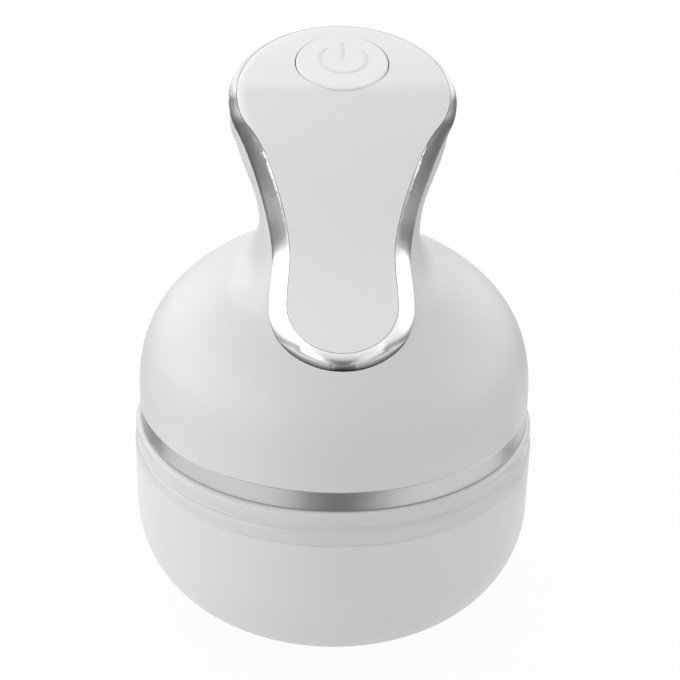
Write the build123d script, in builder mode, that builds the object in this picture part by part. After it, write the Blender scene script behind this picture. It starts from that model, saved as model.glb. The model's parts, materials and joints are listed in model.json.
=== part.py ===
from build123d import *
from math import acos, atan2, cos, degrees, pi, radians, sin, tan
import os

# Electric roller massager, standing upside up on its protective cap.
# Millimetres, +Z up, front towards -Y, origin on the floor under the middle of the cap.

os.makedirs("parts", exist_ok=True)


def save(piece, name):
    """Label a finished piece and write its file."""
    piece.part.label = name
    export_step(piece.part, f"parts/{name}.step")


# Heights of the round body, from the floor up
cap_height = 40.0
band_height = 8.25
ring_height = 5.25
band_bottom_z = cap_height
ring_bottom_z = cap_height + band_height
dome_edge_z = ring_bottom_z + ring_height

# Round body
body_radius = 49.5
dome_step = 1.5
dome_radius = body_radius - dome_step
dome_height = 44.0
dome_side_power = 2.736
dome_crown_power = 1.392
shell_wall = 2.2
edge_chamfer = 0.3
screw_gap = 0.02

# Protective cap, a bowl with a flat foot
cap_wall = 2.0
cap_floor = 2.2
cap_foot_radius = 26.0
cap_curve_height = 25.0
cap_fit_gap = 0.2
cap_spigot_height = 3.8
cap_spigot_wall = 2.0

# Lower housing
band_wall = 2.6
band_ledge_step = 0.1
band_shoulder_inset = 0.35
band_valley_inset = 0.95
band_ledge_radius = dome_radius - band_ledge_step
band_shoulder_radius = body_radius - band_shoulder_inset
band_valley_radius = body_radius - band_valley_inset
base_plate_z = 38.6
base_plate_thickness = 2.2
gear_seat_z = 42.0
tongue_wall = 1.5
tongue_gap = 0.2
tongue_height = 2.6
ring_recess = 0.2
ring_gap = 0.15

# Handle, seen along a line that comes down onto the front at this angle
look_angle = 36.0
look = Vector(0, -cos(radians(look_angle)), sin(radians(look_angle)))

# Outline of the silver trim in that view, from the lower end up to the head
end_half_width = 16.4
end_height = 12.5
end_round = 14.7
neck_half_width = 15.5
neck_height = 24.0
shoulder_half_width = 18.3
shoulder_height = 37.5
cheek_half_width = 22.6
cheek_height = 48.0
head_half_width = 25.0
head_height = 57.0
head_round = 20.5

# Trim and faceplate; the visible width of the trim shrinks from its lower end to the top of the head
trim_bevel = 4.3
trim_width = 3.9
trim_share_neck = 0.96
trim_share_shoulder = 0.95
trim_share_cheek = 0.74
trim_share_head = 0.45
trim_share_top = 0.15
trim_depth = 5.0
ledge_width = 1.5
plate_gap = 0.12
plate_thickness = 2.0
ledge_gap = 0.15
opening_rim = 1.2
opening_depth = 15.0
seat_gap = 0.05

# Power button on the sloping top of the head
button_radius = 10.2
button_gap = 0.25
button_y = -7.9
button_height = 86.4
deck_tilt = 18.2
button_proud = 0.35
button_crown = 0.5
button_flange_width = 1.3
button_flange_thickness = 1.1
button_flange_gap = 0.25
button_stem_radius = 2.2
button_travel = 0.8

def power_mean_radius(height, radius, full_height):
    """Radius of a dome of the given foot radius at a height over its edge."""
    share = (height/full_height)**dome_side_power
    return radius*(1 - share)**(1/dome_crown_power)


def dome_reach(height):
    """Radius of the white dome at a height over its edge."""
    return power_mean_radius(height, dome_radius, dome_height)


# Handle's front line in the middle plane, as distance from the axis and height over the dome's edge
front_foot = 19.5
front_heel = 29.6
front_line = [
    (0.7 - dome_reach(front_foot), front_foot),
    (-1.9 - dome_reach(front_heel), front_heel),
    (-30.0, 38.5),
    (-25.0, 48.5),
    (-23.6, 59.5),
    (-23.2, 69.5),
    (-20.9, 78.6),
]
deck_steps = (-10.0, -5.0, 0.0, 5.0, 12.0, 18.0, 25.0)

# White grip behind the trim: height over the dome's edge, half width, front, back, squareness in front
grip_root = 29.0
grip_flare = 33.0
root_reach = dome_reach(grip_root)
flare_reach = dome_reach(grip_flare)
grip_stations = [
    (grip_root, root_reach - 2.6, 1.8 - root_reach, root_reach - 2.4, 2.0),
    (grip_flare, flare_reach - 2.4, -0.4 - flare_reach, flare_reach - 2.0, 2.2),
    (36.5, 24.2, -28.8, 24.4, 2.6),
    (40.0, 20.8, -26.6, 20.5, 3.2),
    (44.5, 18.9, -24.2, 16.8, 4.2),
    (50.0, 18.3, -22.7, 14.4, 5.2),
    (56.0, 19.0, -22.0, 13.6, 5.5),
    (62.0, 20.9, -21.9, 14.4, 5.5),
    (67.5, 22.9, -21.7, 15.8, 5.2),
    (73.0, 24.2, -20.6, 17.0, 4.6),
    (78.0, 24.0, -17.0, 17.2, 4.0),
    (82.0, 21.9, -11.6, 16.2, 3.4),
    (85.5, 17.5, -5.0, 13.4, 2.8),
    (88.3, 10.5, 0.6, 9.8, 2.2),
]
grip_back_power = 2.2
grip_points = 20

# Wider head that carries the trim, cut to the trim's outline; same columns as the grip
head_stations = [
    (62.0, 16.0, -16.0, 8.0, 3.0),
    (66.0, 19.5, -18.8, 9.0, 4.0),
    (70.0, 24.2, -20.8, 10.0, 5.0),
    (74.0, 26.4, -21.2, 11.0, 5.0),
    (78.0, 27.2, -20.8, 11.6, 4.6),
    (82.0, 27.4, -18.4, 12.0, 4.2),
    (86.0, 26.4, -13.5, 12.0, 3.8),
    (90.0, 22.0, -7.0, 11.0, 3.4),
]
head_inset = 0.05
grip_wall = 2.3
grip_front_room = 4.5
cavity_bottom = 36.5
cavity_top = 78.0


def dome_profile_points(radius, full_height):
    """Points up the side of a dome, close together where it turns over."""
    shares = (0.0, 0.2, 0.4, 0.55, 0.68, 0.78, 0.86, 0.92, 0.965, 1.0)
    return [(power_mean_radius(s*full_height, radius, full_height), dome_edge_z + s*full_height) for s in shares]


def dome_solid(radius, full_height, skirt=0.0):
    """A dome closed at its edge, with an optional straight skirt below it."""
    with BuildPart(mode=Mode.PRIVATE) as dome:
        with BuildSketch(Plane.XZ):
            with BuildLine():
                side = Spline(*dome_profile_points(radius, full_height), tangents=((0, 1), (-1, 0)))
                Polyline(side @ 1, (0, dome_edge_z - skirt), (radius, dome_edge_z - skirt))
                if skirt:
                    Line((radius, dome_edge_z - skirt), side @ 0)
            make_face()
        revolve(axis=Axis.Z)
    return dome.part


def grip_section(half_width, front, back, front_power):
    """Points round one level cut of the grip, squarer in front than behind."""
    middle = (front + back)/2
    half_depth = (back - front)/2
    points = []
    for step in range(grip_points):
        angle = 2*pi*step/grip_points
        power = grip_back_power if sin(angle) > 0 else front_power
        x = half_width*abs(cos(angle))**(2/power)*(1 if cos(angle) > 0 else -1)
        y = half_depth*abs(sin(angle))**(2/power)*(1 if sin(angle) > 0 else -1)
        points.append((x, middle + y))
    return points


def grip_solid(stations):
    """The grip's level cuts joined into one smooth solid."""
    with BuildPart(mode=Mode.PRIVATE) as grip:
        for height, half_width, front, back, front_power in stations:
            with BuildSketch(Plane.XY.offset(dome_edge_z + height)):
                with BuildLine():
                    Spline(*grip_section(half_width, front, back, front_power), periodic=True)
                make_face()
        loft()
    return grip.part


outline_plane = Plane(origin=(0, 0, dome_edge_z), x_dir=(1, 0, 0), z_dir=look)
deck_direction = Vector(0, cos(radians(deck_tilt)), sin(radians(deck_tilt)))
deck_normal = Vector(0, -sin(radians(deck_tilt)), cos(radians(deck_tilt)))
button_centre = Vector(0, button_y, dome_edge_z + button_height)
deck_plane = Plane(origin=button_centre, x_dir=(1, 0, 0), z_dir=deck_normal)
outline_start = 30.0
outline_reach = 50.0
block_half_width = 32.0
block_back = 70.0
block_foot = 20.0


def front_block(depth):
    """Everything behind the handle's front line, with the line moved back by a depth."""
    shift = look*(-depth)
    points = [(y + shift.Y, dome_edge_z + z + shift.Z) for y, z in front_line]
    for along in deck_steps:
        spot = button_centre + deck_direction*along + shift
        points.append((spot.Y, spot.Z))
    low = points[0][1] - block_foot
    with BuildPart(mode=Mode.PRIVATE) as block:
        with BuildSketch(Plane.YZ.offset(-block_half_width)):
            with BuildLine():
                line = Spline(*points)
                Polyline(line @ 1, (block_back, points[-1][1]), (block_back, low), (points[0][0], low), line @ 0)
            make_face()
        extrude(amount=2*block_half_width)
    return block.part


def outline(width=0.0, inset=0.0):
    """The trim's outline in its own plane, drawn in by a trim width and an even inset."""
    end_x = end_half_width - width - inset
    head_x = head_half_width - width*trim_share_head - inset
    head_y = head_round - width*trim_share_top - inset
    with BuildSketch(mode=Mode.PRIVATE) as shape:
        with BuildLine():
            EllipticalCenterArc((0, end_height), end_x, end_round - width - inset, start_angle=180, arc_size=180)
            EllipticalCenterArc((0, head_height), head_x, head_y, start_angle=0, arc_size=180)
            side = Spline(
                (end_x, end_height),
                (neck_half_width - width*trim_share_neck - inset, neck_height),
                (shoulder_half_width - width*trim_share_shoulder - inset, shoulder_height),
                (cheek_half_width - width*trim_share_cheek - inset, cheek_height),
                (head_x, head_height),
                tangents=((0, 1), (0, 1)),
            )
            mirror(side, about=Plane.YZ)
        make_face()
    return shape.sketch


def outline_prism(width=0.0, inset=0.0):
    """The outline carried along the line of sight, right through the front."""
    with BuildPart(mode=Mode.PRIVATE) as prism:
        with BuildSketch(outline_plane.offset(outline_start)):
            add(outline(width, inset))
        extrude(amount=outline_reach)
    return prism.part


# Protective cap
with BuildPart() as protective_cap:
    with BuildSketch(Plane.XZ):
        with BuildLine():
            Line((0, 0), (cap_foot_radius, 0))
            EllipticalCenterArc(
                (cap_foot_radius, cap_curve_height),
                body_radius - cap_foot_radius,
                cap_curve_height,
                start_angle=270,
                arc_size=90,
            )
            Polyline(
                (body_radius, cap_curve_height),
                (body_radius, cap_height - edge_chamfer),
                (body_radius - edge_chamfer, cap_height),
                (body_radius - cap_wall, cap_height),
                (body_radius - cap_wall, cap_curve_height),
            )
            EllipticalCenterArc(
                (cap_foot_radius, cap_curve_height),
                body_radius - cap_wall - cap_foot_radius,
                cap_curve_height - cap_floor,
                start_angle=270,
                arc_size=90,
            )
            Polyline((cap_foot_radius, cap_floor), (0, cap_floor), (0, 0))
        make_face()
    revolve(axis=Axis.Z)
save(protective_cap, "protective_cap")

# Shape of the handle's front block, with its rounded rim
outer_dome = dome_solid(dome_radius, dome_height)
inner_dome = dome_solid(dome_radius - shell_wall, dome_height - shell_wall, skirt=edge_chamfer)
grip = grip_solid(grip_stations)
head = grip_solid(head_stations) & outline_prism(0, head_inset)
front_shape = outline_prism() & front_block(0)
front_face = front_shape.faces().sort_by(Axis((0, 0, dome_edge_z), look))[-1]
front_shape = fillet(front_face.edges(), trim_bevel)
seat_block = front_block(trim_depth)

# Silver trim round the faceplate, seated on the grip and the dome
ledge_top = plate_thickness + ledge_gap
trim_shape = front_shape - (outline_prism(trim_width) - front_block(ledge_top))
trim_shape = trim_shape - outline_prism(trim_width, ledge_width) - seat_block
with BuildPart() as handle_trim:
    add(trim_shape)
save(handle_trim, "handle_trim")

# White faceplate, with the button's hole and two posts for the switch board
plate_under = plate_thickness*look.dot(deck_normal)
board_post_x = 14.2
board_post_y = -5.0
board_post_radius = 2.3
board_post_length = 6.4
board_screw_radius = 0.8
board_post_places = ((-board_post_x, board_post_y), (board_post_x, board_post_y))
flange_room = 0.3
plate_shape = (front_shape & outline_prism(trim_width, plate_gap)) - front_block(plate_thickness)
with BuildPart() as handle_faceplate:
    add(plate_shape)
    with BuildSketch(deck_plane.offset(-plate_under + 0.3)):
        with Locations(*board_post_places):
            Circle(board_post_radius)
    extrude(amount=-(board_post_length + 0.3))
    with BuildSketch(deck_plane.offset(button_travel + 1)):
        Circle(button_radius + button_gap)
    extrude(amount=-(plate_under + button_travel + 3), mode=Mode.SUBTRACT)
    with BuildSketch(deck_plane.offset(-plate_under)):
        Circle(button_radius + button_flange_width + flange_room)
    extrude(amount=-4, mode=Mode.SUBTRACT)
    with BuildSketch(deck_plane.offset(-plate_under - board_post_length)):
        with Locations(*board_post_places):
            Circle(board_screw_radius + screw_gap)
    extrude(amount=board_post_length - 1, mode=Mode.SUBTRACT)
save(handle_faceplate, "handle_faceplate")

# Power button, crowned, with a flange that keeps it under the faceplate
flange_top = -plate_under - button_flange_gap
button_foot = flange_top - button_flange_thickness
with BuildPart() as power_button:
    with BuildSketch(deck_plane.offset(flange_top)):
        Circle(button_radius)
    extrude(amount=button_proud - flange_top)
    fillet(power_button.edges().filter_by(GeomType.CIRCLE).sort_by(Axis(button_centre, deck_normal))[-1:], button_crown)
    with BuildSketch(deck_plane.offset(button_foot)):
        Circle(button_radius + button_flange_width)
    extrude(amount=button_flange_thickness)
    with BuildSketch(deck_plane.offset(button_foot)):
        Circle(button_stem_radius)
    extrude(amount=-0.15)
save(power_button, "power_button")

# Screws that hold the lower housing up against the shell
shell_screw_count = 4
shell_screw_inset = 5.6
shell_screw_circle = dome_radius - shell_wall - tongue_gap - tongue_wall - shell_screw_inset
shell_screw_turn = 45.0
shell_boss_radius = 3.4
shell_boss_bottom_z = 48.2
shell_boss_top_z = 75.0
shell_boss_gap = 0.2
housing_boss_radius = 4.2
shell_screw_radius = 1.25
shell_screw_head_radius = 2.5
shell_screw_head_height = 2.0
shell_screw_seat_z = 44.5
shell_screw_length = 11.0
screw_head_gap = 0.4

# Charging socket low on the back of the dome
socket_z = 64.5
socket_width = 8.94
socket_thickness = 3.26
socket_length = 7.3
socket_front_y = dome_radius - 3.0
socket_wall = 0.3
socket_gap = 0.2
plug_width = 13.0
plug_height = 7.0
plug_floor_y = socket_front_y + 0.4
plug_gap = 0.2
plug_stub_length = 0.8
pad_width = 18.0
pad_height = 12.0
pad_back_y = socket_front_y - 4.5
charge_board_thickness = 1.2
charge_board_width = 13.0
charge_board_length = 11.0
charge_board_end_y = pad_back_y - 0.2
charge_board_top_z = socket_z - socket_thickness/2
charge_board_z = charge_board_top_z - charge_board_thickness
shelf_rib_x = 5.0
shelf_rib_width = 1.6
shelf_rib_height = 1.5
shelf_rib_front_y = pad_back_y - 9.5

# Posts for the battery cradle on the inside of the grip's back wall
cradle_post_x = 12.2
cradle_post_z = dome_edge_z + 56.0
cradle_post_radius = 2.0
cradle_post_front_y = 2.0
cradle_post_reach = 10.0
cradle_screw_radius = 0.9

socket_plane = Plane(origin=(0, 0, socket_z), x_dir=(-1, 0, 0), z_dir=(0, 1, 0))


def inset_grip(wall, front_room):
    """The hollow part of the grip, with its level cuts drawn in by a wall."""
    inside = []
    for height, half_width, front, back, front_power in grip_stations:
        if cavity_bottom - 1 <= height <= cavity_top:
            inside.append((height, half_width - wall, front + front_room, back - wall, front_power))
    return grip_solid(inside)


cavity = inset_grip(grip_wall, grip_front_room)
seat_tool = outline_prism(0, -seat_gap) - seat_block
opening_tool = (outline_prism(trim_width, ledge_width + opening_rim) & front_block(-1)) - front_block(opening_depth)
with BuildPart(mode=Mode.PRIVATE) as cradle_posts:
    with BuildSketch(Plane.XZ.offset(-cradle_post_front_y)):
        with Locations((-cradle_post_x, cradle_post_z), (cradle_post_x, cradle_post_z)):
            Circle(cradle_post_radius)
    extrude(amount=-cradle_post_reach)
    add(inset_grip(grip_wall/2, grip_front_room), mode=Mode.INTERSECT)
with BuildPart(mode=Mode.PRIVATE) as socket_pad:
    with BuildSketch(socket_plane.offset(pad_back_y)):
        RectangleRounded(pad_width, pad_height, 2)
    extrude(amount=dome_radius - pad_back_y)
    add(outer_dome, mode=Mode.INTERSECT)

# White shell: dome and grip in one piece, open below and under the faceplate
with BuildPart() as body_shell:
    add(outer_dome)
    add(grip)
    add(head)
    add(inner_dome, mode=Mode.SUBTRACT)
    add(cavity, mode=Mode.SUBTRACT)
    with BuildSketch(Plane.XY.offset(shell_boss_bottom_z)):
        with PolarLocations(shell_screw_circle, shell_screw_count, start_angle=shell_screw_turn):
            Circle(shell_boss_radius)
    extrude(amount=shell_boss_top_z - shell_boss_bottom_z)
    add(socket_pad.part)
    with BuildSketch(Plane.XZ.offset(-shelf_rib_front_y)):
        with Locations(
            (-shelf_rib_x, charge_board_z - shelf_rib_height/2),
            (shelf_rib_x, charge_board_z - shelf_rib_height/2),
        ):
            Rectangle(shelf_rib_width, shelf_rib_height)
    extrude(amount=-(pad_back_y + 0.5 - shelf_rib_front_y))
    add(cradle_posts.part)
    add(seat_tool, mode=Mode.SUBTRACT)
    add(opening_tool, mode=Mode.SUBTRACT)
    with BuildSketch(Plane.XY.offset(shell_boss_bottom_z)):
        with PolarLocations(shell_screw_circle, shell_screw_count, start_angle=shell_screw_turn):
            Circle(shell_screw_radius + screw_gap)
    extrude(amount=shell_screw_length, mode=Mode.SUBTRACT)
    with BuildSketch(Plane.XZ.offset(-cradle_post_front_y)):
        with Locations((-cradle_post_x, cradle_post_z), (cradle_post_x, cradle_post_z)):
            Circle(cradle_screw_radius + screw_gap)
    extrude(amount=-4.5, mode=Mode.SUBTRACT)
    with BuildSketch(socket_plane.offset(plug_floor_y)):
        SlotOverall(plug_width, plug_height)
    extrude(amount=10, mode=Mode.SUBTRACT)
    with BuildSketch(socket_plane.offset(pad_back_y - 1)):
        SlotOverall(socket_width + 2*socket_gap, socket_thickness + 2*socket_gap)
    extrude(amount=10, mode=Mode.SUBTRACT)
save(body_shell, "body_shell")

# Lower housing: white band, base plate, spigot for the cap and tongue for the shell
spigot_radius = body_radius - cap_wall - cap_fit_gap
spigot_bottom_z = band_bottom_z - cap_spigot_height
base_plate_top_z = base_plate_z + base_plate_thickness
tongue_radius = dome_radius - shell_wall - tongue_gap
tongue_top_z = dome_edge_z + tongue_height
band_inner_radius = body_radius - band_wall
band_step_z = ring_bottom_z - 2.0
bush_radius = 6.5
bush_bore_radius = 4.05
bush_flange_radius = 8.5
bush_flange_thickness = 1.0
bush_bottom_z = 38.3
gear_case_radius = 27.0
gear_screw_count = 3
gear_screw_circle = 25.0
gear_screw_radius = 1.0
gear_screw_turn = 30.0
with BuildPart() as lower_housing:
    with BuildSketch(Plane.XZ):
        with BuildLine():
            Polyline(
                (spigot_radius, band_bottom_z),
                (body_radius - edge_chamfer, band_bottom_z),
                (body_radius, band_bottom_z + edge_chamfer),
                (body_radius, band_bottom_z + 2.2),
            )
            ThreePointArc(
                (body_radius, band_bottom_z + 2.2),
                (body_radius - 0.1, band_bottom_z + 3.0),
                (body_radius - 0.4, band_bottom_z + 3.6),
            )
            ThreePointArc(
                (body_radius - 0.4, band_bottom_z + 3.6),
                (band_valley_radius, band_bottom_z + 4.3),
                (band_shoulder_radius - 0.15, band_bottom_z + 5.0),
            )
            Line((band_shoulder_radius - 0.15, band_bottom_z + 5.0), (band_shoulder_radius, ring_bottom_z - 1.35))
            ThreePointArc(
                (band_shoulder_radius, ring_bottom_z - 1.35),
                (band_shoulder_radius - 0.4, ring_bottom_z - 0.4),
                (band_ledge_radius, ring_bottom_z),
            )
            Polyline(
                (band_ledge_radius, ring_bottom_z),
                (tongue_radius, ring_bottom_z),
                (tongue_radius, tongue_top_z),
                (tongue_radius - tongue_wall, tongue_top_z),
                (tongue_radius - tongue_wall, band_step_z),
                (band_inner_radius, band_step_z),
                (band_inner_radius, base_plate_top_z),
                (bush_radius, base_plate_top_z),
                (bush_radius, base_plate_z),
                (spigot_radius - cap_spigot_wall, base_plate_z),
                (spigot_radius - cap_spigot_wall, spigot_bottom_z),
                (spigot_radius, spigot_bottom_z),
                (spigot_radius, band_bottom_z),
            )
        make_face()
    revolve(axis=Axis.Z)
    with BuildSketch(Plane.XY.offset(base_plate_z)):
        with PolarLocations(shell_screw_circle, shell_screw_count, start_angle=shell_screw_turn):
            Circle(housing_boss_radius)
    extrude(amount=shell_boss_bottom_z - shell_boss_gap - base_plate_z)
    with BuildSketch(Plane.XY.offset(base_plate_top_z)):
        Circle(gear_case_radius)
        Circle(bush_radius, mode=Mode.SUBTRACT)
    extrude(amount=gear_seat_z - base_plate_top_z)
    with BuildSketch(Plane.XY.offset(base_plate_z)):
        with PolarLocations(shell_screw_circle, shell_screw_count, start_angle=shell_screw_turn):
            Circle(shell_screw_head_radius + screw_head_gap)
    extrude(amount=shell_screw_seat_z - base_plate_z, mode=Mode.SUBTRACT)
    with BuildSketch(Plane.XY.offset(shell_screw_seat_z)):
        with PolarLocations(shell_screw_circle, shell_screw_count, start_angle=shell_screw_turn):
            Circle(shell_screw_radius + 0.15)
    extrude(amount=10, mode=Mode.SUBTRACT)
    with BuildSketch(Plane.XY.offset(gear_seat_z)):
        with PolarLocations(gear_screw_circle, gear_screw_count, start_angle=gear_screw_turn):
            Circle(gear_screw_radius + screw_gap)
    extrude(amount=-2.4, mode=Mode.SUBTRACT)
save(lower_housing, "lower_housing")

# Silver ring between the lower housing and the dome
with BuildPart() as decor_ring:
    with BuildSketch(Plane.XZ):
        with Locations(((dome_radius - ring_recess + tongue_radius + ring_gap)/2, ring_bottom_z + ring_height/2)):
            Rectangle(dome_radius - ring_recess - tongue_radius - ring_gap, ring_height)
    revolve(axis=Axis.Z)
    outer_rims = decor_ring.edges().filter_by(GeomType.CIRCLE).sort_by(SortBy.RADIUS)[-2:]
    chamfer(outer_rims, edge_chamfer)
save(decor_ring, "decor_ring")

# Planetary gears
module = 0.9
pressure = radians(20)
sun_teeth = 12
planet_teeth = 18
ring_teeth = 48
planet_count = 3
planet_turn = 90.0
tooth_addendum = 0.75*module
tooth_dedendum = 1.1*module
tooth_play = 0.11
gear_centres = module*(sun_teeth + planet_teeth)/2


def involute(roll):
    """Involute function of an angle."""
    return tan(roll) - roll


def flank_angle(teeth, radius, play):
    """Half of a tooth's angle at a radius, made wider by a play along the pitch circle."""
    base = module*teeth/2*cos(pressure)
    roll = acos(base/max(radius, base))
    return pi/(2*teeth) + play/(module*teeth) + involute(pressure) - involute(roll)


def polar_point(radius, angle):
    """Point at a radius and an angle in radians."""
    return (radius*cos(angle), radius*sin(angle))


def tooth(teeth, low, high, play):
    """One tooth along +X between two radii, with involute flanks."""
    start = max(low, module*teeth/2*cos(pressure) + 0.01)
    middle = (start + high)/2
    with BuildSketch(mode=Mode.PRIVATE) as shape:
        with BuildLine():
            ThreePointArc(
                polar_point(start, flank_angle(teeth, start, play)),
                polar_point(middle, flank_angle(teeth, middle, play)),
                polar_point(high, flank_angle(teeth, high, play)),
            )
            Line(
                polar_point(high, flank_angle(teeth, high, play)),
                polar_point(high, -flank_angle(teeth, high, play)),
            )
            ThreePointArc(
                polar_point(high, -flank_angle(teeth, high, play)),
                polar_point(middle, -flank_angle(teeth, middle, play)),
                polar_point(start, -flank_angle(teeth, start, play)),
            )
            if low < start:
                Polyline(
                    polar_point(start, -flank_angle(teeth, start, play)),
                    polar_point(low - 0.1, -flank_angle(teeth, start, play)),
                    polar_point(low - 0.1, flank_angle(teeth, start, play)),
                    polar_point(start, flank_angle(teeth, start, play)),
                )
            else:
                Line(
                    polar_point(start, -flank_angle(teeth, start, play)),
                    polar_point(start, flank_angle(teeth, start, play)),
                )
        make_face()
    return shape.sketch


def spur_gear(teeth, bore_radius, bottom, top, centre):
    """A spur gear with a tooth on its +X side."""
    pitch = module*teeth/2
    low = pitch - tooth_dedendum
    with BuildPart(mode=Mode.PRIVATE) as gear:
        with BuildSketch(Plane.XY.offset(bottom)):
            with Locations(centre):
                Circle(low)
                with PolarLocations(0, teeth):
                    add(tooth(teeth, low, pitch + tooth_addendum, -tooth_play))
                Circle(bore_radius, mode=Mode.SUBTRACT)
        extrude(amount=top - bottom)
    return gear.part


# Heights of the drive
shaft_bottom_z = 26.3
disc_gap = 0.3
carrier_disc_z = gear_seat_z + bush_flange_thickness + disc_gap
carrier_disc_thickness = 2.1
planet_z = 45.7
planet_top_z = 51.7
pin_top_z = 52.2
sun_z = 45.9
sun_top_z = 52.5
gear_case_top_z = 53.0
case_step_z = 45.6
motor_plate_thickness = 1.6
motor_plate_top_z = gear_case_top_z + motor_plate_thickness

# Gear case with the ring's inner teeth
case_bore_radius = 22.8
ring_pitch = module*ring_teeth/2
gear_screw_gap = 0.15
with BuildPart() as gear_case:
    with BuildSketch(Plane.XY.offset(gear_seat_z)):
        Circle(gear_case_radius)
        Circle(case_bore_radius, mode=Mode.SUBTRACT)
    extrude(amount=case_step_z - gear_seat_z)
    with BuildSketch(Plane.XY.offset(case_step_z)):
        Circle(gear_case_radius)
        Circle(ring_pitch - tooth_addendum, mode=Mode.SUBTRACT)
        with PolarLocations(0, ring_teeth, start_angle=180/ring_teeth):
            add(
                tooth(ring_teeth, ring_pitch - tooth_addendum - 0.3, ring_pitch + tooth_dedendum, tooth_play),
                mode=Mode.SUBTRACT,
            )
    extrude(amount=gear_case_top_z - case_step_z)
    with BuildSketch(Plane.XY.offset(gear_seat_z)):
        with PolarLocations(gear_screw_circle, gear_screw_count, start_angle=gear_screw_turn):
            Circle(gear_screw_radius + gear_screw_gap)
    extrude(amount=gear_case_top_z - gear_seat_z, mode=Mode.SUBTRACT)
save(gear_case, "gear_case")

# Output shaft and planet carrier in one piece
output_radius = 4.0
shaft_flat = 3.2
hub_top_z = 36.6
carrier_disc_radius = 19.0
pin_radius = 1.5
pin_gap = 0.05
fit_gap = 0.01
carrier_screw_radius = 1.4
carrier_screw_top_z = 32.0
with BuildPart() as planet_carrier:
    with BuildSketch(Plane.XY.offset(shaft_bottom_z)):
        Circle(output_radius)
    extrude(amount=carrier_disc_z - shaft_bottom_z)
    with BuildSketch(Plane.XY.offset(shaft_bottom_z)):
        with Locations((shaft_flat + output_radius, 0)):
            Rectangle(2*output_radius, 4*output_radius)
    extrude(amount=hub_top_z - shaft_bottom_z, mode=Mode.SUBTRACT)
    with BuildSketch(Plane.XY.offset(carrier_disc_z)):
        Circle(carrier_disc_radius)
        with PolarLocations(gear_centres, planet_count, start_angle=planet_turn):
            Circle(pin_radius + fit_gap, mode=Mode.SUBTRACT)
    extrude(amount=carrier_disc_thickness)
    with BuildSketch(Plane.XY.offset(shaft_bottom_z)):
        Circle(carrier_screw_radius + screw_gap)
    extrude(amount=carrier_screw_top_z + 0.5 - shaft_bottom_z, mode=Mode.SUBTRACT)
save(planet_carrier, "planet_carrier")

# Pins that the planets turn on
with BuildPart() as planet_pins:
    with BuildSketch(Plane.XY.offset(carrier_disc_z)):
        with PolarLocations(gear_centres, planet_count, start_angle=planet_turn):
            Circle(pin_radius)
    extrude(amount=pin_top_z - carrier_disc_z)
save(planet_pins, "planet_pins")

# Planet gears, each with a tooth on its +X side
for number in range(planet_count):
    angle = radians(planet_turn + 360*number/planet_count)
    with BuildPart() as planet_gear:
        add(spur_gear(planet_teeth, pin_radius + pin_gap, planet_z, planet_top_z, polar_point(gear_centres, angle)))
    save(planet_gear, f"planet_gear_{number + 1}")

# Sun gear on the motor's shaft
motor_shaft_radius = 1.0
motor_shaft_top_z = 62.0
with BuildPart() as sun_gear:
    add(spur_gear(sun_teeth, motor_shaft_radius + fit_gap, sun_z, sun_top_z, (0, 0)))
save(sun_gear, "sun_gear")

with BuildPart() as motor_shaft:
    with BuildSketch(Plane.XY.offset(sun_z)):
        Circle(motor_shaft_radius)
    extrude(amount=motor_shaft_top_z - sun_z)
save(motor_shaft, "motor_shaft")

# Plate that closes the gear case and carries the motor
motor_radius = 12.2
motor_top_z = 85.4
motor_boss_radius = 3.0
motor_boss_height = 1.5
motor_boss_gap = 0.1
motor_screw_x = 8.0
motor_screw_radius = 0.8
motor_screw_gap = 0.12
motor_screw_reach = 2.4
shaft_play = 0.06
with BuildPart() as motor_plate:
    with BuildSketch(Plane.XY.offset(gear_case_top_z)):
        Circle(gear_case_radius)
        Circle(motor_boss_radius + motor_boss_gap, mode=Mode.SUBTRACT)
        with Locations((-motor_screw_x, 0), (motor_screw_x, 0)):
            Circle(motor_screw_radius + motor_screw_gap, mode=Mode.SUBTRACT)
        with PolarLocations(gear_screw_circle, gear_screw_count, start_angle=gear_screw_turn):
            Circle(gear_screw_radius + gear_screw_gap, mode=Mode.SUBTRACT)
    extrude(amount=motor_plate_thickness)
save(motor_plate, "motor_plate")

# Motor can with its front boss
motor_edge = 0.8
with BuildPart() as motor:
    with BuildSketch(Plane.XY.offset(motor_plate_top_z)):
        Circle(motor_radius)
    extrude(amount=motor_top_z - motor_plate_top_z)
    fillet(motor.edges().filter_by(GeomType.CIRCLE), motor_edge)
    with BuildSketch(Plane.XY.offset(motor_plate_top_z - motor_boss_height)):
        Circle(motor_boss_radius)
    extrude(amount=motor_boss_height)
    with BuildSketch(Plane.XY.offset(motor_plate_top_z - motor_boss_height)):
        Circle(motor_shaft_radius + shaft_play)
    extrude(amount=motor_shaft_top_z + 0.4 - motor_plate_top_z + motor_boss_height, mode=Mode.SUBTRACT)
    with BuildSketch(Plane.XY.offset(motor_plate_top_z)):
        with Locations((-motor_screw_x, 0), (motor_screw_x, 0)):
            Circle(motor_screw_radius + screw_gap)
    extrude(amount=motor_screw_reach + 0.3, mode=Mode.SUBTRACT)
save(motor, "motor")

# Plastic end cap of the motor with its two terminals
end_cap_radius = 10.6
end_cap_thickness = 1.8
terminal_x = 4.0
terminal_y = 8.2
terminal_width = 2.4
terminal_thickness = 0.5
terminal_height = 1.6
with BuildPart() as motor_end_cap:
    with BuildSketch(Plane.XY.offset(motor_top_z)):
        Circle(end_cap_radius)
    extrude(amount=end_cap_thickness)
    with BuildSketch(Plane.XY.offset(motor_top_z + end_cap_thickness)):
        with Locations((-terminal_x, terminal_y), (terminal_x, terminal_y)):
            Rectangle(terminal_width, terminal_thickness)
    extrude(amount=terminal_height)
save(motor_end_cap, "motor_end_cap")

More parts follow.
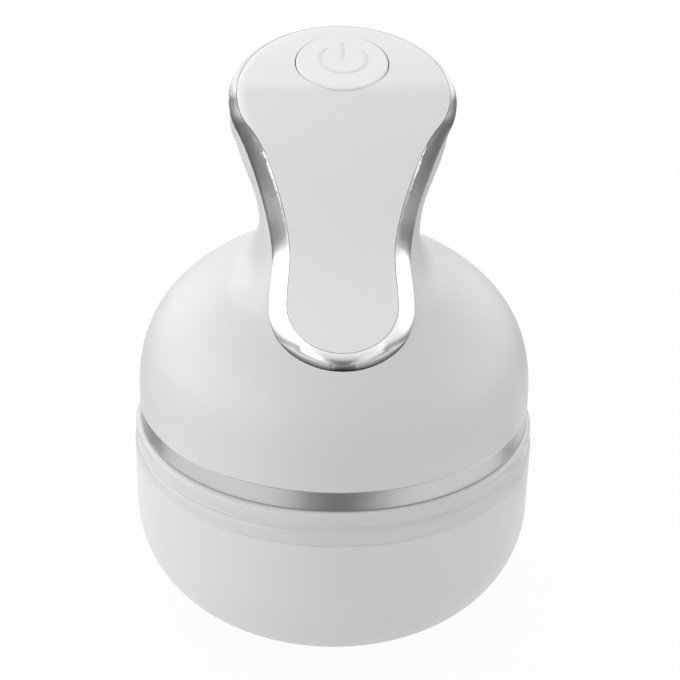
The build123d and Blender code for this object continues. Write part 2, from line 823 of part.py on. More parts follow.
# Bush in the base plate for the output shaft
shaft_gap = 0.05
with BuildPart() as output_bush:
    with BuildSketch(Plane.XY.offset(bush_bottom_z)):
        Circle(bush_radius - fit_gap)
    extrude(amount=gear_seat_z - bush_bottom_z)
    with BuildSketch(Plane.XY.offset(gear_seat_z)):
        Circle(bush_flange_radius)
    extrude(amount=bush_flange_thickness)
    with BuildSketch(Plane.XY.offset(bush_bottom_z)):
        Circle(output_radius + shaft_gap)
    extrude(amount=gear_seat_z + bush_flange_thickness - bush_bottom_z, mode=Mode.SUBTRACT)
save(output_bush, "output_bush")

# Washer between the roller carrier and the bush
washer_radius = 6.2
washer_top_z = 38.0
with BuildPart() as thrust_washer:
    with BuildSketch(Plane.XY.offset(hub_top_z)):
        Circle(washer_radius)
        Circle(output_radius + fit_gap, mode=Mode.SUBTRACT)
    extrude(amount=washer_top_z - hub_top_z)
save(thrust_washer, "thrust_washer")

# Roller carrier under the housing, with the rollers between its hub and its ears
carrier_gap = 2.3
carrier_radius = body_radius - cap_wall - cap_fit_gap - cap_spigot_wall - carrier_gap
carrier_z = 32.6
roller_count = 4
hub_radius = 10.0
hub_z = 16.5
axle_z = 20.5
axle_radius = 1.5
axle_inner = 4.5
ear_inset = 2.0
ear_thickness = 3.4
ear_outer = carrier_radius - ear_inset
ear_inner = ear_outer - ear_thickness
ear_width = 8.0
axle_boss_radius = 3.0
axle_boss_length = 1.5
axle_boss_end = hub_radius + axle_boss_length
roller_inner_gap = 0.4
roller_outer_gap = 0.5
ball_half_length = (ear_inner - roller_outer_gap - axle_boss_end - roller_inner_gap)/2
roller_circle = axle_boss_end + roller_inner_gap + ball_half_length
ball_bulge = 0.2
stud_height = 1.4
pocket_gap = 1.0
ball_radius = ball_half_length + ball_bulge
stud_reach = ball_radius + stud_height
pocket_radius = stud_reach + pocket_gap
carrier_recess_radius = 3.2
carrier_recess_top_z = 23.5
hub_floor_z = 26.0


def radial_plane(angle, reach):
    """Upright plane facing outward at an angle and a distance from the axis."""
    outward = Vector(cos(radians(angle)), sin(radians(angle)), 0)
    return Plane(origin=outward*reach, x_dir=(-outward.Y, outward.X, 0), z_dir=outward)


with BuildPart() as roller_carrier:
    with BuildSketch(Plane.XY.offset(carrier_z)):
        Circle(carrier_radius)
        with PolarLocations(roller_circle, roller_count):
            Circle(pocket_radius, mode=Mode.SUBTRACT)
    extrude(amount=hub_top_z - carrier_z)
    with BuildSketch(Plane.XY.offset(hub_z)):
        Circle(hub_radius)
    extrude(amount=hub_top_z - hub_z)
    for number in range(roller_count):
        angle = 360*number/roller_count
        with BuildSketch(radial_plane(angle, ear_inner)):
            with Locations((0, axle_z)):
                Circle(ear_width/2)
            with Locations((0, (axle_z + hub_top_z)/2)):
                Rectangle(ear_width, hub_top_z - axle_z)
        extrude(amount=ear_outer - ear_inner)
        with BuildSketch(radial_plane(angle, hub_radius - 1)):
            with Locations((0, axle_z)):
                Circle(axle_boss_radius)
        extrude(amount=axle_boss_end - hub_radius + 1)
        with BuildSketch(radial_plane(angle, axle_inner - 0.1)):
            with Locations((0, axle_z)):
                Circle(axle_radius + fit_gap)
        extrude(amount=ear_outer - axle_inner + 1, mode=Mode.SUBTRACT)
    with BuildSketch(Plane.XY.offset(hub_z)):
        Circle(carrier_recess_radius)
    extrude(amount=carrier_recess_top_z - hub_z, mode=Mode.SUBTRACT)
    with BuildSketch(Plane.XY.offset(carrier_recess_top_z)):
        Circle(carrier_screw_radius + 0.15)
    extrude(amount=hub_floor_z - carrier_recess_top_z, mode=Mode.SUBTRACT)
    with BuildSketch(Plane.XY.offset(hub_floor_z)):
        Circle(output_radius + fit_gap)
        with Locations((shaft_flat + fit_gap + output_radius, 0)):
            Rectangle(2*output_radius, 4*output_radius, mode=Mode.SUBTRACT)
    extrude(amount=hub_top_z - hub_floor_z, mode=Mode.SUBTRACT)
save(roller_carrier, "roller_carrier")

# Axles of the rollers, pressed into the carrier
with BuildPart() as roller_axles:
    for number in range(roller_count):
        with BuildSketch(radial_plane(360*number/roller_count, axle_inner)):
            with Locations((0, axle_z)):
                Circle(axle_radius)
        extrude(amount=ear_outer - axle_inner)
save(roller_axles, "roller_axles")

# Studded rollers: a ball with flat ends, and rounded studs in three rows
ball_end_radius = (ball_radius**2 - ball_half_length**2)**0.5
roller_gap = 0.05
stud_foot_radius = 2.6
stud_sink = 1.2
stud_foot = ball_radius - stud_sink
stud_tip_radius = 1.7
stud_round = 0.6
stud_tilt = 33.0
stud_rows = ((0.0, 8, 22.5), (stud_tilt, 6, 10.0), (-stud_tilt, 6, 40.0))
stud_places = []
for tilt, count, turn in stud_rows:
    for place in range(count):
        around = radians(turn + 360*place/count)
        lean = radians(tilt)
        outward = Vector(cos(lean)*cos(around), cos(lean)*sin(around), sin(lean))
        stud_places.append(Plane(origin=outward*stud_foot, x_dir=(-sin(around), cos(around), 0), z_dir=outward))
with BuildPart(mode=Mode.PRIVATE) as roller:
    with BuildSketch(Plane.XZ):
        with BuildLine():
            ThreePointArc((ball_end_radius, -ball_half_length), (ball_radius, 0), (ball_end_radius, ball_half_length))
            Polyline(
                (ball_end_radius, ball_half_length),
                (axle_radius + roller_gap, ball_half_length),
                (axle_radius + roller_gap, -ball_half_length),
                (ball_end_radius, -ball_half_length),
            )
        make_face()
    revolve(axis=Axis.Z)
    with Locations(*stud_places):
        Cone(stud_foot_radius, stud_tip_radius, stud_reach - stud_foot, align=(Align.CENTER, Align.CENTER, Align.MIN))
    tips = roller.edges().filter_by(lambda edge: abs(edge.length - 2*pi*stud_tip_radius) < 0.001)
    fillet(tips, stud_round)
for number in range(roller_count):
    with BuildPart() as roller_ball:
        place = radial_plane(360*number/roller_count, roller_circle)
        place = Plane(origin=place.origin + Vector(0, 0, axle_z), x_dir=place.x_dir, z_dir=place.z_dir)
        add(place.location*roller.part)
    save(roller_ball, f"roller_ball_{number + 1}")


def screw(place, head_radius, head_height, shank_radius, length):
    """A cross headed screw whose head sits on a plane, with its shank behind the plane."""
    with BuildPart(mode=Mode.PRIVATE) as fastener:
        with BuildSketch(place):
            Circle(head_radius)
        extrude(amount=head_height)
        with BuildSketch(place.offset(head_height)):
            Rectangle(head_radius*1.2, head_radius*0.3)
            Rectangle(head_radius*0.3, head_radius*1.2)
        extrude(amount=-head_height/2, mode=Mode.SUBTRACT)
        with BuildSketch(place):
            Circle(shank_radius)
        extrude(amount=-length)
    return fastener.part


def place_on(plane, x, y):
    """A plane moved to a spot on itself."""
    return Plane(origin=plane.from_local_coords((x, y, 0)), x_dir=plane.x_dir, z_dir=plane.z_dir)


# Screw from below that holds the carrier on the output shaft
with BuildPart() as carrier_screw:
    under = Plane(origin=(0, 0, carrier_recess_top_z), x_dir=(1, 0, 0), z_dir=(0, 0, -1))
    add(screw(under, 2.7, 1.8, carrier_screw_radius, carrier_screw_top_z - carrier_recess_top_z))
save(carrier_screw, "carrier_screw")

with BuildPart() as housing_screws:
    for number in range(shell_screw_count):
        angle = radians(shell_screw_turn + 360*number/shell_screw_count)
        spot = (*polar_point(shell_screw_circle, angle), shell_screw_seat_z)
        under = Plane(origin=spot, x_dir=(1, 0, 0), z_dir=(0, 0, -1))
        add(screw(under, shell_screw_head_radius, shell_screw_head_height, shell_screw_radius, shell_screw_length))
save(housing_screws, "housing_screws")

gear_screw_length = 14.6
with BuildPart() as gear_screws:
    for number in range(gear_screw_count):
        angle = radians(gear_screw_turn + 360*number/gear_screw_count)
        spot = (*polar_point(gear_screw_circle, angle), motor_plate_top_z)
        add(screw(Plane(origin=spot), 1.9, 1.3, gear_screw_radius, gear_screw_length))
save(gear_screws, "gear_screws")

with BuildPart() as motor_screws:
    for x in (-motor_screw_x, motor_screw_x):
        under = Plane(origin=(x, 0, gear_case_top_z), x_dir=(1, 0, 0), z_dir=(0, 0, -1))
        add(screw(under, 1.6, 0.7, motor_screw_radius, motor_plate_thickness + motor_screw_reach))
save(motor_screws, "motor_screws")

# Battery cell standing in the grip
battery_radius = 9.0
battery_y = -3.5
battery_z = dome_edge_z + 37.5
battery_length = 35.0
battery_edge = 0.6
with BuildPart() as battery:
    with BuildSketch(Plane.XY.offset(battery_z)):
        with Locations((0, battery_y)):
            Circle(battery_radius)
    extrude(amount=battery_length)
    fillet(battery.edges().filter_by(GeomType.CIRCLE), battery_edge)
    with BuildSketch(Plane.XY.offset(battery_z + battery_length)):
        with Locations((0, battery_y)):
            Circle(3)
    extrude(amount=0.9)
save(battery, "battery")

# Cradle behind the battery, with lugs for its screws and a flat for the main board
cradle_gap = 0.2
cradle_wall = 1.5
cradle_floor = 1.0
cradle_front_y = -2.0
cradle_top_z = battery_z + battery_length + 0.5
cradle_bore = battery_radius + cradle_gap
lug_width = 6.0
lug_height = 6.0
lug_thickness = 1.6
lug_centre_x = 11.6
board_flat_y = battery_y + cradle_bore + cradle_wall + 0.2
board_flat_half_width = 3.5
main_board_z = dome_edge_z + 39.0
main_board_length = 30.0
main_board_width = 17.0
main_board_thickness = 1.6
main_board_screw_radius = 0.7
main_board_screw_z = (main_board_z + 3, main_board_z + main_board_length - 3)
with BuildPart() as battery_cradle:
    with BuildSketch(Plane.XY.offset(battery_z - cradle_floor)):
        with Locations((0, battery_y)):
            Circle(cradle_bore + cradle_wall)
        with Locations((0, board_flat_y - 2)):
            Rectangle(2*board_flat_half_width, 4)
    extrude(amount=cradle_top_z - battery_z + cradle_floor)
    with BuildSketch(Plane.XZ.offset(-(cradle_post_front_y - lug_thickness))):
        with Locations((-lug_centre_x, cradle_post_z), (lug_centre_x, cradle_post_z)):
            Rectangle(lug_width, lug_height)
    extrude(amount=-lug_thickness)
    with BuildSketch(Plane.XY.offset(battery_z)):
        with Locations((0, battery_y)):
            Circle(cradle_bore)
    extrude(amount=battery_length + 1, mode=Mode.SUBTRACT)
    with BuildSketch(Plane.XY.offset(battery_z)):
        with Locations((0, cradle_front_y - 10)):
            Rectangle(40, 20)
    extrude(amount=battery_length + 1, mode=Mode.SUBTRACT)
    with BuildSketch(Plane.XZ.offset(0)):
        with Locations((-cradle_post_x, cradle_post_z), (cradle_post_x, cradle_post_z)):
            Circle(cradle_screw_radius + 0.15)
    extrude(amount=-3, mode=Mode.SUBTRACT)
    with BuildSketch(Plane.XZ.offset(-board_flat_y)):
        for z in main_board_screw_z:
            with Locations((0, z)):
                Circle(main_board_screw_radius + screw_gap)
    extrude(amount=1.4, mode=Mode.SUBTRACT)
save(battery_cradle, "battery_cradle")

with BuildPart() as cradle_screws:
    for x in (-cradle_post_x, cradle_post_x):
        front = Plane(
            origin=(x, cradle_post_front_y - lug_thickness, cradle_post_z), x_dir=(1, 0, 0), z_dir=(0, -1, 0)
        )
        add(screw(front, 1.7, 1.2, cradle_screw_radius, lug_thickness + 4.2))
save(cradle_screws, "cradle_screws")

# Main board on the back of the cradle, with its chips
chip_spots = ((4.2, 7.0, 5.0, 5.0), (-4.2, 9.0, 4.0, 6.0), (3.8, 21.0, 6.0, 4.0), (-4.6, 21.5, 3.0, 3.0))
chip_height = 1.1
with BuildPart() as main_board:
    with BuildSketch(Plane.XZ.offset(-board_flat_y)):
        with Locations((0, main_board_z + main_board_length/2)):
            Rectangle(main_board_width, main_board_length)
        for z in main_board_screw_z:
            with Locations((0, z)):
                Circle(main_board_screw_radius + 0.15, mode=Mode.SUBTRACT)
    extrude(amount=-main_board_thickness)
    with BuildSketch(Plane.XZ.offset(-board_flat_y - main_board_thickness)):
        for x, up, width, height in chip_spots:
            with Locations((x, main_board_z + up)):
                Rectangle(width, height)
    extrude(amount=-chip_height)
save(main_board, "main_board")

with BuildPart() as main_board_screws:
    for z in main_board_screw_z:
        back = Plane(origin=(0, board_flat_y + main_board_thickness, z), x_dir=(1, 0, 0), z_dir=(0, 1, 0))
        add(screw(back, 1.4, 0.9, main_board_screw_radius, main_board_thickness + 1.2))
save(main_board_screws, "main_board_screws")

# Leads from the motor's terminals up to the main board
lead_radius = 0.6
lead_top_z = main_board_z + 4.0
lead_bottom_z = motor_top_z + end_cap_thickness + 0.2
with BuildPart() as motor_leads:
    with BuildSketch(Plane.XY.offset(lead_bottom_z)):
        for x in (-terminal_x, terminal_x):
            with Locations((x, board_flat_y + main_board_thickness + lead_radius)):
                Circle(lead_radius)
    extrude(amount=lead_top_z - lead_bottom_z)
save(motor_leads, "motor_leads")

# Switch board under the faceplate, screwed to its two posts
switch_board_depth = plate_under + board_post_length
switch_board_width = 33.4
switch_board_length = 13.0
switch_board_y = -1.5
switch_board_thickness = 1.2
with BuildPart() as switch_board:
    with BuildSketch(deck_plane.offset(-switch_board_depth)):
        with Locations((0, switch_board_y)):
            RectangleRounded(switch_board_width, switch_board_length, 1.5)
        with Locations(*board_post_places):
            Circle(board_screw_radius + 0.15, mode=Mode.SUBTRACT)
    extrude(amount=-switch_board_thickness)
save(switch_board, "switch_board")

with BuildPart() as switch_board_screws:
    under_board = Plane(
        origin=deck_plane.offset(-switch_board_depth - switch_board_thickness).origin,
        x_dir=(1, 0, 0),
        z_dir=deck_normal*(-1),
    )
    for x, y in board_post_places:
        add(screw(place_on(under_board, x, -y), 1.6, 1.0, board_screw_radius, switch_board_thickness + 4.0))
save(switch_board_screws, "switch_board_screws")

# Push switch under the button
switch_size = 6.2
switch_top = button_foot - 0.15 - button_travel - 0.1
switch_plunger_height = 0.6
switch_plunger_radius = 1.7
with BuildPart() as tact_switch:
    with BuildSketch(deck_plane.offset(-switch_board_depth)):
        Rectangle(switch_size, switch_size)
    extrude(amount=switch_board_depth + switch_top - switch_plunger_height)
    with BuildSketch(deck_plane.offset(switch_top - switch_plunger_height)):
        Circle(switch_plunger_radius)
    extrude(amount=switch_plunger_height)
save(tact_switch, "tact_switch")

# Charging socket, its board and the plug that closes its recess
with BuildPart() as charging_socket:
    with BuildSketch(socket_plane.offset(socket_front_y)):
        SlotOverall(socket_width, socket_thickness)
    extrude(amount=-socket_length)
    with BuildSketch(socket_plane.offset(socket_front_y)):
        SlotOverall(socket_width - 2*socket_wall, socket_thickness - 2*socket_wall)
    extrude(amount=-(socket_length - 1), mode=Mode.SUBTRACT)
    with BuildSketch(socket_plane.offset(socket_front_y - socket_length + 1)):
        Rectangle(6.6, 0.7)
    extrude(amount=socket_length - 2.2)
save(charging_socket, "charging_socket")

with BuildPart() as charge_board:
    with BuildSketch(Plane.XY.offset(charge_board_z)):
        with Locations((0, charge_board_end_y - charge_board_length/2)):
            Rectangle(charge_board_width, charge_board_length)
    extrude(amount=charge_board_thickness)
save(charge_board, "charge_board")

with BuildPart() as port_plug:
    with BuildSketch(socket_plane.offset(plug_floor_y)):
        SlotOverall(plug_width - 2*plug_gap, plug_height - 2*plug_gap)
    extrude(amount=6)
    add(outer_dome, mode=Mode.INTERSECT)
    with BuildSketch(socket_plane.offset(plug_floor_y)):
        SlotOverall(socket_width - 2*socket_wall - 0.4, socket_thickness - 2*socket_wall - 0.4)
    extrude(amount=-plug_stub_length)
save(port_plug, "port_plug")
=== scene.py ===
import json
import math

import bpy
from mathutils import Matrix, Vector
from mathutils.bvhtree import BVHTree
from mathutils.kdtree import KDTree

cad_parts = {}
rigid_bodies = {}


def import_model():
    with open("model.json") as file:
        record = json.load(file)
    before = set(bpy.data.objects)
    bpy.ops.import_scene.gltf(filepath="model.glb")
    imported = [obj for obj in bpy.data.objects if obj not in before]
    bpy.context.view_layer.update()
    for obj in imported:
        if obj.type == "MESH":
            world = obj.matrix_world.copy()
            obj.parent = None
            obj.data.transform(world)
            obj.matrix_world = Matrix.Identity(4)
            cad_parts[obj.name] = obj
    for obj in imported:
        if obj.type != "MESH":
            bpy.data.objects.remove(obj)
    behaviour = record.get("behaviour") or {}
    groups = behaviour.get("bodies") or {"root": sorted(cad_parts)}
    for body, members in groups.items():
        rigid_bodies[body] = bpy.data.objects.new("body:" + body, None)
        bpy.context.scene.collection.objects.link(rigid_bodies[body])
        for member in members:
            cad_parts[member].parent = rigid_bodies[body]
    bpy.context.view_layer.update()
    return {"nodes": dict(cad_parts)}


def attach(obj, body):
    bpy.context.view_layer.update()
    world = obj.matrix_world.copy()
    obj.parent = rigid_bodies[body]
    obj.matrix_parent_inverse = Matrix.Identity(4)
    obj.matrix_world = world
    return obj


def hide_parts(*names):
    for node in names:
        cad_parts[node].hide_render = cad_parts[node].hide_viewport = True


bl_info = {
    "name": "Electric roller massager",
    "version": (1, 0, 0),
    "blender": (4, 5, 0),
    "location": "View3D > Sidebar > Massager",
    "description": "Finishes and small details of an electric roller massager",
    "category": "Object",
}

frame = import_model()

QUARTER_TURN = math.radians(90)

# Clouds and grain of the finishes, in repeats per metre, and the grain's depth in metres
PLASTIC_CLOUD = 35.0
PLASTIC_GRAIN = 9000.0
METAL_CLOUD = 60.0
METAL_GRAIN = 7000.0
RUBBER_CLOUD = 90.0
RUBBER_GRAIN = 5000.0
GRAIN_DEPTH = 0.0001
TRACK_SCALE = 260.0

# Copies of the CAD surfaces: points nearer than the gap become one, sharper edges stay sharp
MERGE_GAP = 0.000004
SHARP_ANGLE = math.radians(32)

# Middle line of the faceplate, felt from the front up to the edge of the button's hole, and
# from there carried on straight up the slope
PROFILE_FRONT = -0.2
PROFILE_LOW = 0.05
PROFILE_STEP = 0.0005
PROFILE_POINTS = 200
HOLE_EDGE = 0.1362
SLOPE_STEP = 0.0007
SLOPE_POINTS = 60

# Crown of the faceplate's shading: how far its normals lean sideways at half its width
PLATE_HALF_WIDTH = 0.02
PLATE_CROWN = 0.09

# How far along the middle line its slope is evened out, everywhere and over the head
NEAR_REACH = 0.0022
HEAD_REACH = 0.016

# Where the head, its cheeks and its top begin, and the rise over which each comes in
HEAD_START, HEAD_RISE = 0.1, 0.02
CHEEK_START, CHEEK_RISE = 0.105, 0.025
TOP_START, TOP_RISE = 0.131, 0.006

# Level cuts through the head
ROW_LOW, ROW_HIGH, ROW_STEP = 0.112, 0.15, 0.0015

# The trim's rounded edge is shaded like a flat bevel: its lean from the front in degrees, what
# the cheeks and the top add and what a downward edge takes off, and how flat it looks
BEVEL_LEAN = 42
CHEEK_LEAN = 20
TOP_LEAN = 23
DOWNWARD_LEAN = 10
BEVEL_FLAT = 0.6
TOP_FLAT = 0.25

# Up to this lean the way outward is taken from the place, and past the side limit nothing turns
INNER_LEAN = math.radians(8)
SIDE_LIMIT = 0.02

# Above this height the plating ends where a face turns this far aside or lies this far back
PLATED_START = 0.112
PLATED_SIDE = 0.2
PLATED_BACK = 0.002

# Button: its slope, its middle, and the height of its face over that middle
BUTTON_SLOPE = math.radians(18.2)
BUTTON_MIDDLE = Vector((0, -0.0079, 0.1399))
BUTTON_FACE = 0.00035

# Raised symbol: sides of its round line, steps round its arc, and its merging and smoothing
LINE_SIDES = 8
ARC_STEPS = 40
LINE_MERGE_GAP = 0.000001
LINE_SHARP_ANGLE = math.radians(60)

# Stage: floor, lamps, cards and camera
FLOOR_SIDES = 96
FLOOR_GREY = 0.8
FLOOR_RADIUS = 4.0
FLOOR_HEIGHT = -0.0003
FLOOR_GLOW = 0.95
LAMP_AIM = Vector((0, 0, 0.09))
LEVEL = (0, 0, 0)
CORNER_ON = (0, 0, math.radians(45))
UPRIGHT = (QUARTER_TURN, 0, 0)
SENSOR = 36.0
DOME_EDGE = Vector((0, 0, 0.0535))
CAMERA_RIGHT = 0.001245
CAMERA_UP = 0.012466
CLIP_START = 0.01
CLIP_END = 20.0


# Shader maths


class Link:
    """A shader value that can be used in sums."""

    def __init__(self, finish, socket):
        self.finish = finish
        self.socket = socket

    def maths(self, operation, first, second):
        return self.finish.node("ShaderNodeMath", {"operation": operation}, {0: first, 1: second})

    def __add__(self, other):
        return self.maths("ADD", self, other)

    def __radd__(self, other):
        return self.maths("ADD", other, self)

    def __mul__(self, other):
        return self.maths("MULTIPLY", self, other)

    def __rmul__(self, other):
        return self.maths("MULTIPLY", other, self)

    def at_least(self, other):
        return self.maths("MAXIMUM", self, other)


class Finish:
    """A material or world whose nodes are added one call at a time."""

    def __init__(self, tree):
        self.tree = tree
        tree.nodes.clear()

    def node(self, kind, settings=None, inputs=None, output=0):
        made = self.tree.nodes.new(kind)
        for name, value in (settings or {}).items():
            setattr(made, name, value)
        for name, value in (inputs or {}).items():
            if isinstance(value, Link):
                self.tree.links.new(value.socket, made.inputs[name])
            else:
                made.inputs[name].default_value = value
        return Link(self, made.outputs[output]) if made.outputs else None

    def noise(self, scale, detail=3.0):
        place = self.node("ShaderNodeTexCoord", output="Object")
        inputs = {"Vector": place, "Scale": scale, "Detail": detail, "Roughness": 0.5}
        return self.node("ShaderNodeTexNoise", {}, inputs)

    def tint(self, mask, low, high):
        inputs = {0: mask, 6: (*low, 1), 7: (*high, 1)}
        return self.node("ShaderNodeMix", {"data_type": "RGBA"}, inputs, output=2)

    def grain(self, scale, strength):
        """Fine grain for a shader's Normal."""
        inputs = {"Height": self.noise(scale, 2.0), "Strength": strength, "Distance": GRAIN_DEPTH}
        return self.node("ShaderNodeBump", {}, inputs)

    def matt(self, grey):
        return self.node("ShaderNodeBsdfDiffuse", {}, {"Color": (grey, grey, grey, 1)})

    def seen(self):
        """1 for what shows, by itself, in a gloss or through glass, and 0 for what lights."""
        seen = self.node("ShaderNodeLightPath", output="Is Camera Ray")
        for other in ("Is Glossy Ray", "Is Transmission Ray"):
            seen = seen.at_least(self.node("ShaderNodeLightPath", output=other))
        return seen

    def surface(self, **inputs):
        named = {name.replace("_", " "): value for name, value in inputs.items()}
        self.output(self.node("ShaderNodeBsdfPrincipled", {}, named))

    def output(self, shader, kind="ShaderNodeOutputMaterial"):
        self.node(kind, {}, {"Surface": shader})


def new_material(name):
    material = bpy.data.materials.new(name)
    material.use_nodes = True
    return material, Finish(material.node_tree)


def shade(colour, strength):
    """A colour made darker or lighter."""
    return tuple(min(1.0, part*strength) for part in colour)


def plastic(name, colour, roughness, grain=0.02):
    """Moulded plastic: slight unevenness in colour and gloss, and a fine moulded grain."""
    material, make = new_material(name)
    cloud = make.noise(PLASTIC_CLOUD)
    make.surface(
        Base_Color=make.tint(cloud, shade(colour, 0.985), shade(colour, 1.01)),
        Roughness=roughness - 0.03 + 0.06*cloud,
        Normal=make.grain(PLASTIC_GRAIN, grain),
    )
    return material


def metal(name, colour, roughness):
    """Metal or plating with a fine satin grain."""
    material, make = new_material(name)
    cloud = make.noise(METAL_CLOUD)
    make.surface(
        Base_Color=make.tint(cloud, shade(colour, 0.96), colour),
        Metallic=1.0,
        Roughness=roughness - 0.04 + 0.08*cloud,
        Normal=make.grain(METAL_GRAIN, 0.05),
    )
    return material


def rubber(name, colour, roughness=0.6):
    """Soft silicone with a dusty matt skin."""
    material, make = new_material(name)
    cloud = make.noise(RUBBER_CLOUD, 4.0)
    make.surface(
        Base_Color=make.tint(cloud, shade(colour, 0.94), colour),
        Roughness=roughness - 0.05 + 0.1*cloud,
        Normal=make.grain(RUBBER_GRAIN, 0.06),
    )
    return material


def board(name, mask, copper):
    """Circuit board: solder mask over faint copper tracks."""
    material, make = new_material(name)
    tracks = make.node(
        "ShaderNodeTexBrick",
        {"offset": 0.35, "squash": 0.6, "squash_frequency": 3},
        {
            "Vector": make.node("ShaderNodeTexCoord", output="Object"),
            "Scale": TRACK_SCALE,
            "Mortar Size": 0.03,
            "Brick Width": 0.9,
            "Row Height": 0.3,
        },
        output="Fac",
    )
    make.surface(Base_Color=make.tint(0.35*tracks, mask, copper), Roughness=0.3 + 0.1*tracks)
    return material


def card(name, grey):
    """Matt card of one grey."""
    material, make = new_material(name)
    make.output(make.matt(grey))
    return material


# Sizes and colours that a user may change


class MassagerFinish(bpy.types.PropertyGroup):
    white: bpy.props.FloatVectorProperty(
        name="White",
        description="Colour of the shell",
        subtype="COLOR",
        size=3,
        min=0,
        max=1,
        default=(0.74, 0.74, 0.74),
    )
    white_face: bpy.props.FloatVectorProperty(
        name="Faceplate",
        description="Colour of the faceplate and the button",
        subtype="COLOR",
        size=3,
        min=0,
        max=1,
        default=(0.92, 0.92, 0.92),
    )
    white_cap: bpy.props.FloatVectorProperty(
        name="Cap",
        description="Colour of the cap",
        subtype="COLOR",
        size=3,
        min=0,
        max=1,
        default=(0.765, 0.758, 0.762),
    )
    white_band: bpy.props.FloatVectorProperty(
        name="Band",
        description="Colour of the band",
        subtype="COLOR",
        size=3,
        min=0,
        max=1,
        default=(0.71, 0.708, 0.706),
    )
    silver: bpy.props.FloatVectorProperty(
        name="Silver",
        description="Colour of the trim. The ring is a darker shade of it",
        subtype="COLOR",
        size=3,
        min=0,
        max=1,
        default=(0.88, 0.88, 0.89),
    )
    shell_gloss: bpy.props.FloatProperty(
        name="Roughness",
        description="Roughness of the white plastic",
        subtype="FACTOR",
        min=0,
        max=1,
        default=0.42,
    )
    trim_gloss: bpy.props.FloatProperty(
        name="Trim roughness",
        description="Roughness of the trim's plating",
        subtype="FACTOR",
        min=0,
        max=1,
        default=0.3,
    )
    ring_gloss: bpy.props.FloatProperty(
        name="Ring roughness",
        description="Roughness of the ring's plating",
        subtype="FACTOR",
        min=0,
        max=1,
        default=0.38,
    )


class MassagerSymbol(bpy.types.PropertyGroup):
    radius: bpy.props.FloatProperty(
        name="Radius",
        description="Radius of the symbol's arc",
        unit="LENGTH",
        default=0.0052,
        precision=4,
    )
    bar: bpy.props.FloatProperty(
        name="Bar",
        description="Length of the bar from the middle",
        unit="LENGTH",
        default=0.0062,
        precision=4,
    )
    shift: bpy.props.FloatProperty(
        name="Shift",
        description="Symbol's middle up the slope from the button's",
        unit="LENGTH",
        default=0.0011,
        precision=4,
    )
    line: bpy.props.FloatProperty(
        name="Line",
        description="Width of the raised line",
        unit="LENGTH",
        default=0.0012,
        precision=4,
    )
    rise: bpy.props.FloatProperty(
        name="Rise",
        description="Height of the raised line",
        unit="LENGTH",
        default=0.00018,
        precision=5,
    )
    gap: bpy.props.FloatProperty(
        name="Gap",
        description="Opening of the arc",
        subtype="ANGLE",
        default=math.radians(86),
    )


class MassagerStage(bpy.types.PropertyGroup):
    distance: bpy.props.FloatProperty(
        name="Camera distance",
        description="From the dome's edge",
        unit="LENGTH",
        default=0.4,
    )
    tilt: bpy.props.FloatProperty(
        name="Camera tilt",
        description="Downward look of the camera",
        subtype="ANGLE",
        default=0.4654,
    )
    orbit: bpy.props.FloatProperty(
        name="Camera orbit",
        description="Turn round the object",
        subtype="ANGLE",
        default=math.radians(-3.2),
    )
    roll: bpy.props.FloatProperty(
        name="Camera roll",
        description="Roll of the camera",
        subtype="ANGLE",
        default=0.0206,
    )
    lens: bpy.props.FloatProperty(
        name="Lens",
        description="Focal length on a 36 mm sensor",
        unit="CAMERA",
        default=84.97,
    )
    ambient: bpy.props.FloatProperty(
        name="Ambient",
        description="Strength of the room's light",
        default=0.4,
    )


# Pieces


def deselect_all():
    for thing in bpy.context.scene.objects:
        thing.select_set(False)


def make_active(thing):
    deselect_all()
    thing.select_set(True)
    bpy.context.view_layer.objects.active = thing


def smooth_skin(name, node, body, material):
    """The CAD node's own surface as one closed, smoothly shaded mesh."""
    skin = bpy.data.objects.new(name, frame["nodes"][node].data.copy())
    bpy.context.scene.collection.objects.link(skin)
    make_active(skin)
    if skin.data.has_custom_normals:
        bpy.ops.mesh.customdata_custom_splitnormals_clear()
    bpy.ops.object.mode_set(mode="EDIT")
    bpy.ops.mesh.select_all(action="SELECT")
    bpy.ops.mesh.remove_doubles(threshold=MERGE_GAP)
    bpy.ops.object.mode_set(mode="OBJECT")
    bpy.ops.object.shade_smooth_by_angle(angle=SHARP_ANGLE)
    weigh = skin.modifiers.new("even shading", "WEIGHTED_NORMAL")
    weigh.keep_sharp = True
    bpy.ops.object.modifier_apply(modifier=weigh.name)
    skin.data.materials.clear()
    skin.data.materials.append(material)
    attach(skin, body)
    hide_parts(node)
    return skin


def dress(node, material):
    """A better material on a CAD node that stays."""
    for slot in frame["nodes"][node].material_slots:
        slot.material = material


def share(height, start, rise):
    """0 up to the start, and 1 from the rise above it."""
    return min(1.0, max(0.0, (height - start)/rise))


def spread(places, slopes, reach):
    """The slope at each place as a mean over its neighbours within a reach."""
    means = []
    for place in places:
        weights = [math.exp(-((place - other).length/reach)**2) for other in places]
        means.append(sum(w*slope for w, slope in zip(weights, slopes))/sum(weights))
    return means


